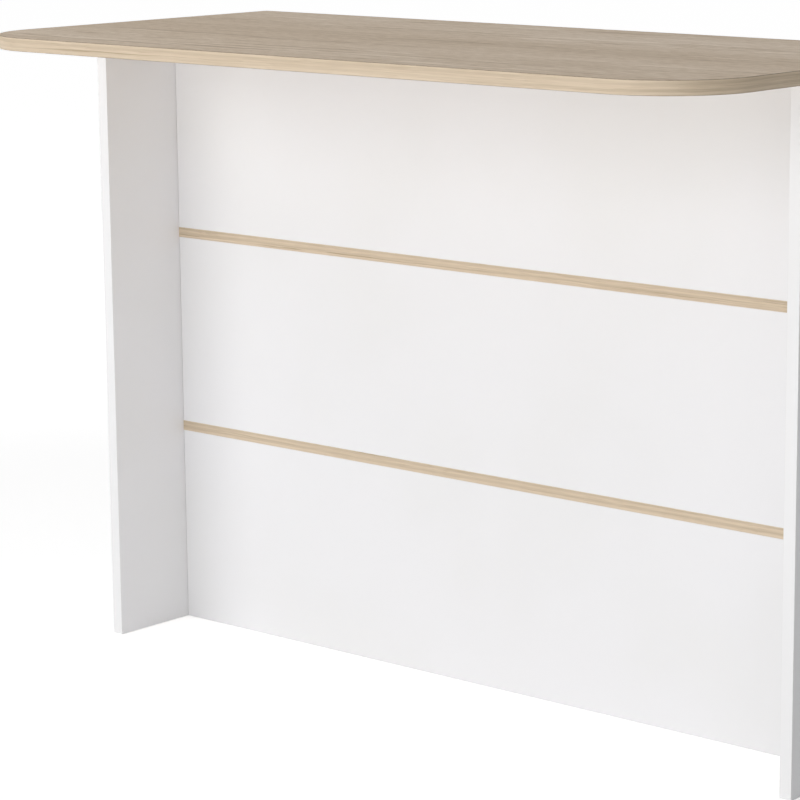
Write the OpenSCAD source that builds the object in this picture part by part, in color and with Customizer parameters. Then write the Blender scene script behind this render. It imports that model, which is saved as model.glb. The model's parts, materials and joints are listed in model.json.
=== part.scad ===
// Panel-built kitchen island: an oak-faced worktop with rounded front corners on two white side
// panels, with shelves on the kitchen side and a knee space on the seating side.
// Millimetres. +X is to the right seen from the seating side, the seating side faces -Y, and +Z is up.
// The origin lies on the floor, below the middle of the worktop.

/* [Worktop] */
// Height of the worktop's upper face above the floor
island_h = 900; // [860:5:1000]
// Width of the worktop, left to right
top_w = 1230; // [1100:10:1600]
// Depth of the worktop, front to rear
top_d = 600; // [560:5:800]
// Thickness of the worktop
top_t = 18; // [16:1:30]
// Radius of the worktop's two front corners
corner_r = 120; // [40:5:200]
// Thickness of the worktop's edge band
top_band_t = 2; // [1:0.5:3]
// How far the worktop reaches past each side panel
side_overhang = 10; // [0:1:60]
// How far the worktop reaches past the side panels' rear edges
rear_overhang = 10; // [0:1:60]

/* [Side panels] */
// Depth of each side panel, front to rear
side_d = 350; // [345:5:450]
// Thickness of each side panel
side_t = 18; // [16:1:25]

/* [Shelves and boards] */
// Height of the lower shelf's underside above the floor
lower_shelf_h = 288; // [240:1:330]
// Height of the upper shelf's underside above the floor
upper_shelf_h = 580; // [540:1:620]
// Thickness of the two shelves
shelf_t = 15; // [15:1:19]
// Thickness of the bottom board
bottom_t = 15; // [15:1:19]
// Thickness of the top rails
rail_t = 15; // [15:1:16]
// Width of each top rail, front to rear
rail_w = 60; // [50:1:60]
// Thickness of the three dividers
divider_t = 15; // [15:1:19]
// How far shelves, rails and dividers stop short of the side panels' rear edges
setback = 2; // [0:1:6]
// Thickness of the edge bands on panels, shelves and boards
band_t = 1; // [0.5:0.5:2]

/* [Infill panels] */
// Depth of the knee space, from the side panels' front edges to the infill panels
knee_d = 137; // [100:1:150]
// Thickness of the three infill panels
infill_t = 15; // [15:1:19]

/* [Cam fittings] */
// Diameter of a cam lock
cam_d = 15; // [12:1:16]
// Board that is left under a cam lock's hole
cam_skin = 3; // [2:0.5:4]
// Distance from a board's end to the middle of its cam locks
cam_reach = 34; // [24:1:36]
// Distance from the shelf space's front and rear to the boards' cam locks
board_cam_inset = 32; // [24:1:36]
// Distance from an infill panel's upper and lower edge to its cam locks
infill_cam_inset = 60; // [40:1:80]
// Diameter of a cam bolt's shank and thread
bolt_d = 6; // [5:0.5:7]
// Length of a cam bolt's thread
bolt_thread_l = 11; // [8:1:12]
// Diameter of a cam bolt's neck, behind its head
bolt_neck_d = 3.6; // [3:0.2:4]
// Length of a cam bolt's head
bolt_head_l = 4; // [3:0.5:5]
// Room round a cam bolt's head in the cam lock
pocket_room = 0.3; // [0.2:0.1:0.5]
// Width across the driver's cross in a cam lock
cross_w = 7; // [5:0.5:8]
// Width of one arm of the driver's cross
cross_arm = 1.4; // [1:0.1:2]
// Depth of the driver's cross
cross_depth = 3; // [2:0.5:3.5]
// Diameter of a cover cap
cap_d = 17; // [16.5:0.5:20]
// Thickness of a cover cap
cap_t = 1; // [0.8:0.1:1.5]

/* [Dowels] */
// Diameter of a dowel
dowel_d = 8; // [6:1:8]
// Length of a dowel
dowel_l = 30; // [25:1:35]
// Depth that a dowel reaches into a board's face
dowel_in_face = 9; // [8:1:10]
// Half the distance between the two middle dowels along an infill panel
infill_dowel_x = 130; // [100:1:160]
// Distance from the middle dowels to the outer dowels along an infill panel
infill_dowel_pitch = 270; // [240:1:300]
// Shift between the dowels above a shelf and the dowels below it
dowel_shift = 24; // [22:1:32]
// Distance from a side panel's front edge to the worktop's first dowel
top_dowel_inset = 30; // [25:1:60]
// Distance from the worktop's first dowel to its second
top_dowel_pitch = 64; // [32:1:64]

/* [Worktop screws] */
// Diameter of a worktop screw
screw_d = 4; // [3.5:0.5:5]
// Length of a worktop screw under its head
screw_l = 27; // [24:1:29]
// Diameter of a worktop screw's head
screw_head_d = 8; // [7:0.5:10]
// Height of a worktop screw's head
screw_head_h = 2.6; // [2:0.2:3]
// Half the distance between the two middle screws along a rail
screw_x = 150; // [100:1:200]
// Distance from the middle screws to the outer screws along a rail
screw_pitch = 270; // [200:1:290]

/* [Clearances] */
// Gap all round a fastener in its hole
fit = 0.1; // [0.05:0.05:0.2]
// Spare depth at the end of a blind hole
hole_spare = 0.5; // [0.3:0.1:1]
// How far a cam lock lies under the face of its board
cam_sink = 0.2; // [0.1:0.1:0.4]

/* [Hidden] */
$fn = 48;

// Colours
oak = [0.79, 0.71, 0.60];
oak_band = [0.86, 0.78, 0.66];
white = [0.95, 0.95, 0.94];
white_band = [0.93, 0.93, 0.92];
zinc = [0.70, 0.71, 0.73];
steel = [0.78, 0.79, 0.80];
beech = [0.82, 0.68, 0.50];

// Overlap that lets a cut run clean through a face
over = 1;
both = [-1, 1];

// Heights
top_z = island_h - top_t;
lower_top = lower_shelf_h + shelf_t;
upper_top = upper_shelf_h + shelf_t;
rail_z = top_z - rail_t;

// Widths
base_w = top_w - 2 * side_overhang;
half_in = base_w / 2 - side_t;
side_mid_x = half_in + side_t / 2;

// Depths
top_front = -top_d / 2;
top_rear = top_d / 2;
side_rear = top_rear - rear_overhang;
side_front = side_rear - side_d;
wall_y = side_front + knee_d;
wall_mid_y = wall_y + infill_t / 2;
bay_front = wall_y + infill_t;
bay_rear = side_rear - setback;
bay_mid = (bay_front + bay_rear) / 2;

// Cam fittings
cam_hole_r = cam_d / 2 + fit;
bolt_hole_r = bolt_d / 2 + fit;
bolt_tip = cam_reach + bolt_head_l / 2;
pocket_w = bolt_d + 2 * pocket_room;
peg_play = 0.15;

// Dowels
dowel_hole_r = dowel_d / 2 + fit;
dowel_in_end = dowel_l - dowel_in_face;

// Cam locks and dowels across the depth of a shelf or of the bottom board
board_cam_ys = [bay_front + board_cam_inset, bay_rear - board_cam_inset];
board_dowel_ys = [bay_mid];

// Each rail's front edge, with its cam lock and its dowel a third of its width from its edges
rail_fronts = [bay_front, bay_rear - rail_w];
rail_cam_ys = [for (y = rail_fronts) y + rail_w / 3];
rail_dowel_ys = [for (y = rail_fronts) y + 2 * rail_w / 3];
rail_mid_ys = [for (y = rail_fronts) y + rail_w / 2];

// The three levels from the floor up: the height where each infill panel starts and ends
infill_spans = [[0, lower_shelf_h], [lower_top, upper_shelf_h], [upper_top, top_z]];
// The height where each divider starts and ends
divider_spans = [[bottom_t, lower_shelf_h], [lower_top, upper_shelf_h], [upper_top, rail_z]];

// Heights of the cam locks and dowels in the ends of the infill panels
infill_cam_zs = [for (s = infill_spans) each [s[0] + infill_cam_inset, s[1] - infill_cam_inset]];
infill_end_dowel_zs = [for (s = infill_spans) (s[0] + s[1]) / 2];

// Places across the width, for the dowels below and above a shelf and for the worktop's screws
low_dowel_xs = [for (s = both, k = [0, 1]) s * (infill_dowel_x + k * infill_dowel_pitch)];
high_dowel_xs = [for (s = both, k = [0, 1]) s * (infill_dowel_x - dowel_shift + k * infill_dowel_pitch)];
screw_xs = [for (s = both, k = [0, 1]) s * (screw_x + k * screw_pitch)];

// Places along the depth, for the dowels at a divider's lower and upper end
divider_high_ys = rail_mid_ys;
divider_low_ys = [rail_mid_ys[0] + dowel_shift, rail_mid_ys[1] - dowel_shift];

// The worktop's own fittings in the side panels' upper edges
top_cam_y = bay_mid - cam_d;
top_dowel_ys = [side_front + top_dowel_inset, side_front + top_dowel_inset + top_dowel_pitch,
    bay_mid + cam_d];

// Where fasteners enter a side panel's inner face, each as [y, z]
side_bolts = concat(
    [for (y = board_cam_ys) each [[y, bottom_t / 2], [y, lower_shelf_h + shelf_t / 2],
        [y, upper_shelf_h + shelf_t / 2]]],
    [for (y = rail_cam_ys) [y, rail_z + rail_t / 2]],
    [for (z = infill_cam_zs) [wall_mid_y, z]]);
side_dowel_points = concat(
    [for (y = board_dowel_ys) each [[y, bottom_t / 2], [y, lower_shelf_h + shelf_t / 2],
        [y, upper_shelf_h + shelf_t / 2]]],
    [for (y = rail_dowel_ys) [y, rail_z + rail_t / 2]],
    [for (z = infill_end_dowel_zs) [wall_mid_y, z]]);

// A box given by its lowest and highest corner
module span_box(low, high) {
    translate(low) cube(high - low);
}

// The children stand on the inner face of side panel s (-1 left, 1 right), with Z into the island
module from_side(s, y, z) {
    translate([s * half_in, y, z]) rotate([0, -90 * s, 0]) children();
}

// A cam bolt: Z = 0 lies on the face that it is screwed into, and its head points to +Z
module cam_bolt() {
    rim = cam_reach - cam_d / 2;
    translate([0, 0, -bolt_thread_l]) cylinder(h = bolt_thread_l + rim, d = bolt_d);
    cylinder(h = bolt_tip, d = bolt_neck_d);
    translate([0, 0, bolt_tip - bolt_head_l]) cylinder(h = bolt_head_l, d = bolt_d);
}

// The hole in the face that a cam bolt is screwed into
module bolt_face_hole() {
    depth = bolt_thread_l + hole_spare;
    translate([0, 0, -depth]) cylinder(h = depth + over, r = bolt_hole_r);
}

// The hole in the end of the board that a cam bolt draws up
module bolt_end_hole() {
    translate([0, 0, -over]) cylinder(h = cam_reach + over, r = bolt_hole_r);
}

// A dowel: Z = 0 lies on the face, and the longer part reaches to +Z
module dowel() {
    translate([0, 0, -dowel_in_face]) cylinder(h = dowel_l, d = dowel_d);
}

module dowel_face_hole() {
    depth = dowel_in_face + hole_spare;
    translate([0, 0, -depth]) cylinder(h = depth + over, r = dowel_hole_r);
}

module dowel_end_hole() {
    translate([0, 0, -over]) cylinder(h = dowel_in_end + hole_spare + over, r = dowel_hole_r);
}

// The driver's cross, from Z = 0 to the depth
module cross(width, arm, depth) {
    for (a = [0, 90]) rotate([0, 0, a]) translate([-width / 2, -arm / 2, 0]) cube([width, arm, depth]);
}

// A cam lock for a board of thickness t: Z = 0 is the board's face, and X points to the bolt
module cam_lock(t) {
    difference() {
        translate([0, 0, cam_sink]) cylinder(h = t - cam_skin - cam_sink, d = cam_d);
        translate([0, 0, cam_sink - over]) cross(cross_w, cross_arm, cross_depth + over);
        translate([-bolt_head_l / 2 - pocket_room, -pocket_w / 2, t / 2 - pocket_w / 2])
            cube([cam_d, pocket_w, pocket_w]);
    }
}

module cam_hole(t) {
    translate([0, 0, -over]) cylinder(h = t - cam_skin + hole_spare + over, r = cam_hole_r);
}

// A cover cap on a board's face, with its peg in the cam lock's cross
module cam_cap() {
    peg_w = cross_w - 2 * peg_play;
    peg_arm = cross_arm - 2 * peg_play;
    translate([0, 0, -cap_t]) cylinder(h = cap_t, d = cap_d);
    translate([0, 0, -cap_t / 2]) cross(peg_w, peg_arm, cap_t / 2 + cam_sink + cross_depth - hole_spare);
}

// The children at each cam lock of a board between the side panels, from its face at height z
// (up = 1 bores upwards from an underside, and up = -1 downwards from an upper face)
module at_board_cams(ys, z, up) {
    for (s = both, y = ys)
        translate([s * (half_in - cam_reach), y, z])
            rotate([0, 0, up > 0 ? 90 - 90 * s : 90 * s - 90]) rotate([up > 0 ? 0 : 180, 0, 0]) children();
}

// The children at each cam lock of the infill panels at heights zs, from their rear faces
module at_infill_cams(zs) {
    for (s = both, z = zs)
        translate([s * (half_in - cam_reach), bay_front, z])
            rotate([90, 90 - 90 * s, 0]) children();
}

// The children at the cam lock in side panel s that holds the worktop
module at_worktop_cam(s) {
    translate([s * half_in, top_cam_y, top_z - cam_reach])
        rotate([0, 90 * s, 0]) rotate([0, 0, 90 + 90 * s]) children();
}

// The children at the worktop's fittings over side panel s, with Z down from the underside
module under_worktop(s, ys) {
    for (y = ys) translate([s * side_mid_x, y, top_z]) rotate([180, 0, 0]) children();
}

// Outline of the worktop, drawn in by inset: two rounded front corners and two square rear ones
module worktop_outline(inset) {
    r = corner_r - inset;
    half_w = top_w / 2 - inset;
    low = top_front + inset;
    high = top_rear - inset;
    translate([-half_w, low + r]) square([2 * half_w, high - low - r]);
    translate([-half_w + r, low]) square([2 * (half_w - r), r + over]);
    for (s = both) translate([s * (half_w - r), low + r]) circle(r = r, $fn = 96);
}

module worktop() {
    color(oak) difference() {
        translate([0, 0, top_z]) linear_extrude(top_t) worktop_outline(top_band_t);
        for (s = both) {
            under_worktop(s, [top_cam_y]) bolt_face_hole();
            under_worktop(s, top_dowel_ys) dowel_face_hole();
        }
        at_screws() screw_pilot();
    }
}

module worktop_edge_band() {
    color(oak_band) translate([0, 0, top_z]) linear_extrude(top_t) difference() {
        worktop_outline(0);
        worktop_outline(top_band_t);
        translate([-top_w, top_rear - top_band_t]) square([2 * top_w, 2 * top_band_t]);
    }
}

module worktop_rear_band() {
    color(oak_band)
        span_box([-top_w / 2, top_rear - top_band_t, top_z], [top_w / 2, top_rear, island_h]);
}

// Side panel s, with the holes for all that is fastened to it
module side_panel(s) {
    color(white) difference() {
        translate([s * side_mid_x - side_t / 2, side_front + band_t, 0])
            cube([side_t, side_d - 2 * band_t, top_z]);
        for (p = side_bolts) from_side(s, p[0], p[1]) bolt_face_hole();
        for (p = side_dowel_points) from_side(s, p[0], p[1]) dowel_face_hole();
        under_worktop(s, [top_cam_y]) bolt_end_hole();
        under_worktop(s, top_dowel_ys) dowel_end_hole();
        at_worktop_cam(s) cam_hole(side_t);
    }
}

// Edge band along a side panel's full height, from depth y
module side_band(s, y) {
    color(white_band) translate([s * side_mid_x - side_t / 2, y, 0]) cube([side_t, band_t, top_z]);
}

module left_side_panel() {
    side_panel(-1);
}

module right_side_panel() {
    side_panel(1);
}

module left_panel_front_band() {
    side_band(-1, side_front);
}

module left_panel_rear_band() {
    side_band(-1, side_rear - band_t);
}

module right_panel_front_band() {
    side_band(1, side_front);
}

module right_panel_rear_band() {
    side_band(1, side_rear - band_t);
}

// A board between the side panels, with cam locks and dowels in its ends
module board(front, rear, z, t, cam_ys, dowel_ys, up) {
    difference() {
        span_box([-half_in, front, z], [half_in, rear, z + t]);
        at_board_cams(cam_ys, up > 0 ? z : z + t, up) cam_hole(t);
        for (s = both) {
            for (y = cam_ys) from_side(s, y, z + t / 2) bolt_end_hole();
            for (y = dowel_ys) from_side(s, y, z + t / 2) dowel_end_hole();
        }
    }
}

// Edge band along a board between the side panels
module board_band(y, z, t) {
    span_box([-half_in, y, z], [half_in, y + band_t, z + t]);
}

// Dowel holes for the infill panel and the divider that stand on a board whose upper face is at z
module upper_dowel_holes(z) {
    for (y = divider_low_ys) translate([0, y, z]) dowel_face_hole();
}

// Dowel holes for the infill panel and the divider that meet a board's underside at z
module lower_dowel_holes(z) {
    for (y = divider_high_ys) translate([0, y, z]) rotate([180, 0, 0]) dowel_face_hole();
}

module bottom_board() {
    color(white) difference() {
        board(bay_front, bay_rear - band_t, 0, bottom_t, board_cam_ys, board_dowel_ys, 1);
        upper_dowel_holes(bottom_t);
    }
}

module bottom_board_band() {
    color(white_band) board_band(bay_rear - band_t, 0, bottom_t);
}

// A shelf whose underside is at z: it runs under and over the infill panels to the knee space
module shelf(z) {
    difference() {
        board(wall_y + band_t, bay_rear - band_t, z, shelf_t, board_cam_ys, board_dowel_ys, 1);
        upper_dowel_holes(z + shelf_t);
        lower_dowel_holes(z);
        for (x = high_dowel_xs) translate([x, wall_mid_y, z + shelf_t]) dowel_face_hole();
        for (x = low_dowel_xs) translate([x, wall_mid_y, z]) rotate([180, 0, 0]) dowel_face_hole();
    }
}

module lower_shelf() {
    color(oak) shelf(lower_shelf_h);
}

module lower_shelf_strip() {
    color(oak_band) board_band(wall_y, lower_shelf_h, shelf_t);
}

module lower_shelf_rear_band() {
    color(oak_band) board_band(bay_rear - band_t, lower_shelf_h, shelf_t);
}

module upper_shelf() {
    color(oak) shelf(upper_shelf_h);
}

module upper_shelf_strip() {
    color(oak_band) board_band(wall_y, upper_shelf_h, shelf_t);
}

module upper_shelf_rear_band() {
    color(oak_band) board_band(bay_rear - band_t, upper_shelf_h, shelf_t);
}

// Top rail i (0 front, 1 rear), from its front edge to rear
module top_rail(i, rear) {
    color(white) difference() {
        board(rail_fronts[i], rear, rail_z, rail_t, [rail_cam_ys[i]], [rail_dowel_ys[i]], -1);
        translate([0, divider_high_ys[i], rail_z]) rotate([180, 0, 0]) dowel_face_hole();
        at_screws() screw_clearance();
    }
}

module front_top_rail() {
    top_rail(0, rail_fronts[0] + rail_w);
}

module rear_top_rail() {
    top_rail(1, bay_rear - band_t);
}

module rear_top_rail_band() {
    color(white_band) board_band(bay_rear - band_t, rail_z, rail_t);
}

// The infill panel of a level (0 lower, 1 middle, 2 upper)
module infill_panel(level) {
    low = infill_spans[level][0];
    high = infill_spans[level][1];
    cam_zs = [infill_cam_zs[2 * level], infill_cam_zs[2 * level + 1]];
    color(white) difference() {
        span_box([-half_in, wall_y, low], [half_in, bay_front, high]);
        at_infill_cams(cam_zs) cam_hole(infill_t);
        for (s = both) {
            for (z = cam_zs) from_side(s, wall_mid_y, z) bolt_end_hole();
            from_side(s, wall_mid_y, infill_end_dowel_zs[level]) dowel_end_hole();
        }
        if (level > 0)
            for (x = high_dowel_xs) translate([x, wall_mid_y, low]) dowel_end_hole();
        if (level < 2)
            for (x = low_dowel_xs) translate([x, wall_mid_y, high]) rotate([180, 0, 0]) dowel_end_hole();
    }
}

module lower_infill_panel() {
    infill_panel(0);
}

module middle_infill_panel() {
    infill_panel(1);
}

module upper_infill_panel() {
    infill_panel(2);
}

// The divider of a level (0 lower, 1 middle, 2 upper)
module divider(level) {
    low = divider_spans[level][0];
    high = divider_spans[level][1];
    color(white) difference() {
        span_box([-divider_t / 2, bay_front, low], [divider_t / 2, bay_rear - band_t, high]);
        for (y = divider_low_ys) translate([0, y, low]) dowel_end_hole();
        for (y = divider_high_ys) translate([0, y, high]) rotate([180, 0, 0]) dowel_end_hole();
    }
}

module divider_band(level) {
    color(white_band) span_box([-divider_t / 2, bay_rear - band_t, divider_spans[level][0]],
        [divider_t / 2, bay_rear, divider_spans[level][1]]);
}

module lower_divider() {
    divider(0);
}

module middle_divider() {
    divider(1);
}

module upper_divider() {
    divider(2);
}

module lower_divider_band() {
    divider_band(0);
}

module middle_divider_band() {
    divider_band(1);
}

module upper_divider_band() {
    divider_band(2);
}

// Cam locks in the undersides of the bottom board and shelves, and in the rails' upper faces
module board_cam_locks() {
    color(zinc) {
        at_board_cams(board_cam_ys, 0, 1) cam_lock(bottom_t);
        at_board_cams(board_cam_ys, lower_shelf_h, 1) cam_lock(shelf_t);
        at_board_cams(board_cam_ys, upper_shelf_h, 1) cam_lock(shelf_t);
        at_board_cams(rail_cam_ys, top_z, -1) cam_lock(rail_t);
    }
}

module infill_cam_locks() {
    color(zinc) at_infill_cams(infill_cam_zs) cam_lock(infill_t);
}

module worktop_cam_locks() {
    color(zinc) for (s = both) at_worktop_cam(s) cam_lock(side_t);
}

module side_cam_bolts() {
    color(steel) for (s = both, p = side_bolts) from_side(s, p[0], p[1]) cam_bolt();
}

module worktop_cam_bolts() {
    color(steel) for (s = both) under_worktop(s, [top_cam_y]) cam_bolt();
}

module side_dowels() {
    color(beech) for (s = both, p = side_dowel_points) from_side(s, p[0], p[1]) dowel();
}

// Dowels that stand in the shelves' upper faces, and those that reach up into their undersides
module infill_dowels() {
    color(beech) for (z = [lower_shelf_h, upper_shelf_h]) {
        for (x = high_dowel_xs) translate([x, wall_mid_y, z + shelf_t]) dowel();
        for (x = low_dowel_xs) translate([x, wall_mid_y, z]) rotate([180, 0, 0]) dowel();
    }
}

module divider_dowels() {
    color(beech) for (s = divider_spans) {
        for (y = divider_low_ys) translate([0, y, s[0]]) dowel();
        for (y = divider_high_ys) translate([0, y, s[1]]) rotate([180, 0, 0]) dowel();
    }
}

module worktop_dowels() {
    color(beech) for (s = both) under_worktop(s, top_dowel_ys) dowel();
}

// The children at each worktop screw, with Z up from the rail's underside
module at_screws() {
    for (x = screw_xs, y = rail_mid_ys) translate([x, y, rail_z]) children();
}

module screw_clearance() {
    translate([0, 0, -over]) cylinder(h = rail_t + 2 * over, d = screw_d + 2 * fit);
}

module screw_pilot() {
    cylinder(h = screw_l + hole_spare, d = screw_d + 2 * fit);
}

// A pan-headed screw with a driver's cross, its head against the rail's underside
module worktop_screw() {
    difference() {
        union() {
            translate([0, 0, -screw_head_h]) cylinder(h = screw_head_h, d1 = screw_head_d - screw_head_h,
                d2 = screw_head_d);
            translate([0, 0, -screw_head_h / 2]) cylinder(h = screw_l + screw_head_h / 2, d = screw_d);
        }
        translate([0, 0, -screw_head_h - over])
            cross(screw_d, cross_arm / 2, over + screw_head_h / 2);
    }
}

module worktop_screws() {
    color(steel) at_screws() worktop_screw();
}

// Caps on the infill panels' rear faces and on the side panels under the worktop
module white_cam_caps() {
    color(white_band) {
        at_infill_cams(infill_cam_zs) cam_cap();
        for (s = both) at_worktop_cam(s) cam_cap();
    }
}

// Caps on the shelves' undersides
module oak_cam_caps() {
    color(oak) for (z = [lower_shelf_h, upper_shelf_h]) at_board_cams(board_cam_ys, z, 1) cam_cap();
}

worktop();
worktop_edge_band();
worktop_rear_band();
left_side_panel();
left_panel_front_band();
left_panel_rear_band();
right_side_panel();
right_panel_front_band();
right_panel_rear_band();
bottom_board();
bottom_board_band();
lower_shelf();
lower_shelf_strip();
lower_shelf_rear_band();
upper_shelf();
upper_shelf_strip();
upper_shelf_rear_band();
front_top_rail();
rear_top_rail();
rear_top_rail_band();
lower_infill_panel();
middle_infill_panel();
upper_infill_panel();
lower_divider();
lower_divider_band();
middle_divider();
middle_divider_band();
upper_divider();
upper_divider_band();
board_cam_locks();
infill_cam_locks();
worktop_cam_locks();
side_cam_bolts();
worktop_cam_bolts();
side_dowels();
infill_dowels();
divider_dowels();
worktop_dowels();
worktop_screws();
white_cam_caps();
oak_cam_caps();
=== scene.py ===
"""Looks of a panel-built kitchen island, built round its packed construction.

An oak-faced worktop with two rounded front corners lies on white side panels. A white wall of three
panels, divided by the oak edges of two shelves, closes the seating side, and the shelves open to the
kitchen side.

Lengths are metres. +X is to the right seen from the seating side, which faces -Y, and +Z is up. The
origin lies on the floor, below the middle of the worktop.
"""

import functools
import json
import logging
import math
from collections.abc import Callable, Iterator
from dataclasses import asdict, dataclass, replace
from enum import Enum
from typing import Any

import bmesh
import bpy
from mathutils import Color, Matrix, Vector

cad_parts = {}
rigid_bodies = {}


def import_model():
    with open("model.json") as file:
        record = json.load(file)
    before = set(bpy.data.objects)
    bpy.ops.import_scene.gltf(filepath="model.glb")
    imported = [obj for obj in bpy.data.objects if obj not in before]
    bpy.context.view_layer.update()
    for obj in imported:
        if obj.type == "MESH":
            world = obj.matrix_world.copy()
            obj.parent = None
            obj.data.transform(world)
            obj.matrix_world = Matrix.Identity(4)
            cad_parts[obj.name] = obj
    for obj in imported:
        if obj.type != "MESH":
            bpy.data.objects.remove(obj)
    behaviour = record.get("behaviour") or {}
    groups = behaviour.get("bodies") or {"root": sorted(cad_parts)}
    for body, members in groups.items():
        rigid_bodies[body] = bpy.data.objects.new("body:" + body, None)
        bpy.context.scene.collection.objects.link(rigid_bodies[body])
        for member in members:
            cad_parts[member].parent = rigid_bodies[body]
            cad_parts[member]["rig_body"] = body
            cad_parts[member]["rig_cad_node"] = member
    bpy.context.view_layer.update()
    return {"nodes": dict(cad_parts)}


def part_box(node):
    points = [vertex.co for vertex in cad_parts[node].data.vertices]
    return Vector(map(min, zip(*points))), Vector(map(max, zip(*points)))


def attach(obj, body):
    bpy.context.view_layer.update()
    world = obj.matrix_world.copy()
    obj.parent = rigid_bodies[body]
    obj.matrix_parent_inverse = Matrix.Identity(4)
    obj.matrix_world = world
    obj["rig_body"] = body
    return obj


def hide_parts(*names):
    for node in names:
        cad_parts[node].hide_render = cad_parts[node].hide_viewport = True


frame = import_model()

LOG = logging.getLogger("kitchen_island")
BODY = "root"
MM = 0.001
TOUCH = 0.02 * MM
MERGE_REACH = TOUCH / 4
QUARTER_TURN = math.pi / 2
RUN_MAP = "run"
ARRIS = "arris"
COLOUR_LEVELS = 255
# Middle of a noise's values and of a wood's tones.
MIDDLE = 0.5
# Phase that a wave texture gains over one unit of its scaled vector, in radians.
WAVE_STEP = 20.0

Colour = tuple[float, float, float, float]
Triple = tuple[float, float, float]
Piece = bpy.types.Object
Tree = bpy.types.NodeTree
Feed = Any
Feeds = dict[str | int, Any]


class Slot(Enum):
    """The record's material slots."""

    OAK_BOARD = "oak_board"
    OAK_EDGE_BAND = "oak_edge_band"
    WHITE_BOARD = "white_board"
    WHITE_EDGE_BAND = "white_edge_band"
    ZINC = "zinc"
    STEEL = "steel"
    BEECH = "beech"
    WHITE_CAP = "white_cap"
    OAK_CAP = "oak_cap"


class Run(Enum):
    """The axis that an edge band runs along, as an index into a place."""

    WIDTH = 0
    HEIGHT = 2


class Side(Enum):
    """The island's left and right side panels, by their names."""

    LEFT = "left"
    RIGHT = "right"


class Facing(Enum):
    """The side of the island that an edge band faces, as the sign of Y."""

    SEATING = -1
    KITCHEN = 1


class Level(Enum):
    """The island's three levels from the floor up."""

    LOWER = "lower"
    MIDDLE = "middle"
    UPPER = "upper"


class Part(Enum):
    """The parts of a mesh that an edit-mode step acts on."""

    VERTEX = "VERT"
    EDGE = "EDGE"
    FACE = "FACE"


def srgb(red: float, green: float, blue: float) -> Colour:
    """Turns a colour as a screen shows it, in levels up to 255, into a shader's linear colour."""
    shown = Color((red / COLOUR_LEVELS, green / COLOUR_LEVELS, blue / COLOUR_LEVELS))
    return (*shown.from_srgb_to_scene_linear(), 1.0)


class Sheet:
    """A node tree that is being drawn up for a material, a world or a group."""

    def __init__(self, tree: Tree) -> None:
        """Starts on the tree that takes the nodes."""
        self.tree = tree

    @staticmethod
    def blank(owner: bpy.types.ID) -> "Sheet":
        """Starts on the emptied node tree of a material or a world.

        Args:
            owner: The material or the world.

        Returns:
            Its sheet.
        """
        owner.use_nodes = True
        owner.node_tree.nodes.clear()
        return Sheet(owner.node_tree)

    def add(self, kind: str, feeds: Feeds | None = None, **settings: Any) -> bpy.types.Node:
        """Adds one node.

        Args:
            kind: Type of the node.
            feeds: What each input takes, which is another node's output or a plain value.
            settings: Properties of the node, such as its operation.

        Returns:
            The new node.
        """
        node = self.tree.nodes.new(kind)
        for name, value in settings.items():
            setattr(node, name, value)
        for key, feed in (feeds or {}).items():
            if isinstance(feed, bpy.types.NodeSocket):
                self.tree.links.new(feed, node.inputs[key])
            else:
                node.inputs[key].default_value = feed
        return node

    def give(self, values: Feeds) -> Tree:
        """Gives a group its outputs.

        Args:
            values: Each output's name with the value that it puts out.

        Returns:
            The finished group.
        """
        for name in values:
            self.tree.interface.new_socket(name, in_out="OUTPUT", socket_type="NodeSocketFloat")
        self.add("NodeGroupOutput", values)
        return self.tree

    def group(self, tree: Tree, feeds: Feeds) -> Any:
        """Places a node group with what its inputs take and returns its outputs."""
        return self.add("ShaderNodeGroup", feeds, node_tree=tree).outputs

    def place(self) -> Feed:
        """Returns the place on the piece, in its own space."""
        return self.add("ShaderNodeTexCoord").outputs["Object"]

    def math(self, operation: str, first: Feed, second: Feed) -> Feed:
        """Adds a Math node with its operation and two inputs, and returns its value."""
        return self.add("ShaderNodeMath", {0: first, 1: second}, operation=operation).outputs[0]

    def vector(self, operation: str, first: Feed, second: Feed) -> Feed:
        """Adds a Vector Math node with its operation and two inputs, and returns its vector."""
        return self.add("ShaderNodeVectorMath", {0: first, 1: second}, operation=operation).outputs[0]

    def remap(self, value: Feed, low: float, high: float, to_low: float = 0.0, to_high: float = 1.0) -> Feed:
        """Moves a value smoothly from the range low to high into the range to_low to to_high."""
        feeds = {"Value": value, "From Min": low, "From Max": high, "To Min": to_low, "To Max": to_high}
        return self.add("ShaderNodeMapRange", feeds, interpolation_type="SMOOTHSTEP").outputs["Result"]

    def mix(self, share: Feed, first: Feed, second: Feed) -> Feed:
        """Mixes two colours by the share of the second."""
        return self.add("ShaderNodeMix", {0: share, 6: first, 7: second}, data_type="RGBA").outputs[2]

    def noise(self, vector: Feed, scale: float, detail: float, rough: float = 0.5) -> Any:
        """Adds a noise texture and returns its outputs, a value and a colour."""
        feeds = {"Vector": vector, "Scale": scale, "Detail": detail, "Roughness": rough}
        return self.add("ShaderNodeTexNoise", feeds).outputs

    def grained(self, vector: Feed, width: Feed, length: Feed, detail: float, rough: float = 0.5) -> Feed:
        """Adds a noise with features of a width and, along the vector's first coordinate, a length."""
        cell = self.add("ShaderNodeCombineXYZ", {0: length, 1: width, 2: width}).outputs[0]
        return self.noise(self.vector("DIVIDE", vector, cell), 1.0, detail, rough)[0]


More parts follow.
